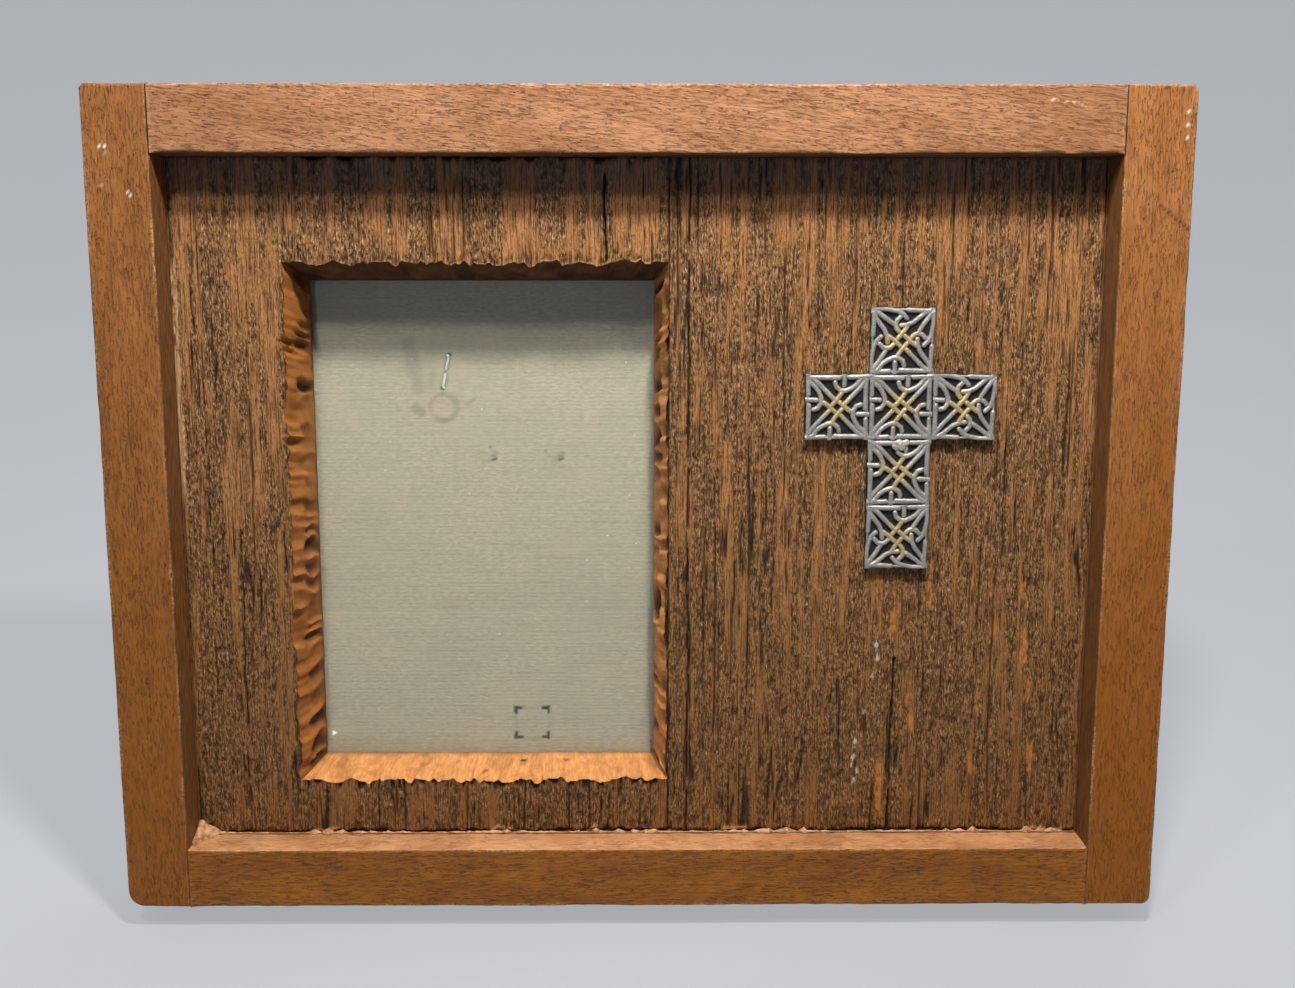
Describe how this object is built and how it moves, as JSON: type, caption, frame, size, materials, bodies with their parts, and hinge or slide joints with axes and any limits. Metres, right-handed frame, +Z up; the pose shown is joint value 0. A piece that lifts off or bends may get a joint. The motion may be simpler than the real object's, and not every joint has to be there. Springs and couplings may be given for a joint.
{
  "type": "picture frame",
  "caption": "Handmade wooden picture frame with a chiselled window, a cast interlace cross, and an easel leg that folds against its back.",
  "frame": {"origin": "middle of the box's bottom, on the surface that the frame stands on; the rear bottom edge of the wood and the foot of the leg rest on it", "axes": "+X to the viewer's right along the frame's width, +Y away from the viewer towards the easel leg, +Z up; the frame leans back 12 degrees"},
  "size_m": [0.35, 0.1008, 0.2758],
  "materials": {
    "stile_wood": "stained and waxed softwood, worn pale along the edges",
    "rail_wood": "stained wood with short dark pores and brushed grain",
    "panel_wood": "stained wood, combed deep along its grain",
    "dried_glue": "dried glue and filler, stained over",
    "nail_steel": "dull bright steel nails",
    "antique_pewter": "cast pewter, blackened in its recesses, with a gold wash",
    "clear_glass": "clear picture glass",
    "ribbed_paper": "grey-beige paper with fine ribs across",
    "backing_hardboard": "dense board covered with dark paper",
    "hinge_brass": "brass-plated sheet",
    "wire_steel": "bright wire",
    "leg_board": "dense board covered with black grained paper",
    "ribbon_cloth": "black woven ribbon",
    "button_brass": "brass-plated sheet, a little tarnished"
  },
  "bodies": {
    "frame": {"left_stile": "stile_wood", "right_stile": "stile_wood", "top_rail": "rail_wood", "bottom_rail": "rail_wood", "corner_nails": "nail_steel", "panel_nails": "nail_steel", "left_board": "panel_wood", "right_board": "panel_wood", "glue_bead": "dried_glue", "cross_casting": "antique_pewter", "cross_pin": "nail_steel", "glass_pane": "clear_glass", "backing_paper": "ribbed_paper", "backing_board": "backing_hardboard", "hinge_fixed_leaf": "hinge_brass", "hinge_rivets": "hinge_brass", "hinge_pin": "wire_steel", "ribbon_plate": "nail_steel", "stay_ribbon": "ribbon_cloth", "hanger_strap": "nail_steel", "hanger_staple": "wire_steel", "button_screws": "button_brass"},
    "leg": {"hinge_moving_leaf": "hinge_brass", "strut_rivets": "hinge_brass", "easel_strut": "leg_board", "ribbon_staple": "wire_steel"},
    "ring": {"hanger_ring": "wire_steel"},
    "button_1": {"turn_button_1": "button_brass"},
    "button_2": {"turn_button_2": "button_brass"},
    "button_3": {"turn_button_3": "button_brass"},
    "button_4": {"turn_button_4": "button_brass"}
  },
  "joints": [
    {"name": "leg_fold", "type": "hinge", "parent": "frame", "child": "leg", "pos_m": [-0.0402, 0.0222, 0.14031], "axis": [1, 0, 0], "range_deg": [-22, 0], "deforming": ["stay_ribbon"]},
    {"name": "ring_swing", "type": "hinge", "parent": "frame", "child": "ring", "pos_m": [-0.0677, 0.02787, 0.16733], "axis": [1, 0, 0], "range_deg": [-12, 165]},
    {"name": "button_turn_1", "type": "hinge", "parent": "frame", "child": "button_1", "pos_m": [-0.1255, 0.02696, 0.1668], "axis": [0, 0.9781, -0.2079], "continuous": true},
    {"name": "button_turn_2", "type": "hinge", "parent": "frame", "child": "button_2", "pos_m": [0.0171, 0.02696, 0.1668], "axis": [0, 0.9781, -0.2079], "continuous": true},
    {"name": "button_turn_3", "type": "hinge", "parent": "frame", "child": "button_3", "pos_m": [0.0171, 0.00867, 0.08073], "axis": [0, 0.9781, -0.2079], "continuous": true},
    {"name": "button_turn_4", "type": "hinge", "parent": "frame", "child": "button_4", "pos_m": [-0.1255, 0.00867, 0.08073], "axis": [0, 0.9781, -0.2079], "continuous": true}
  ]
}
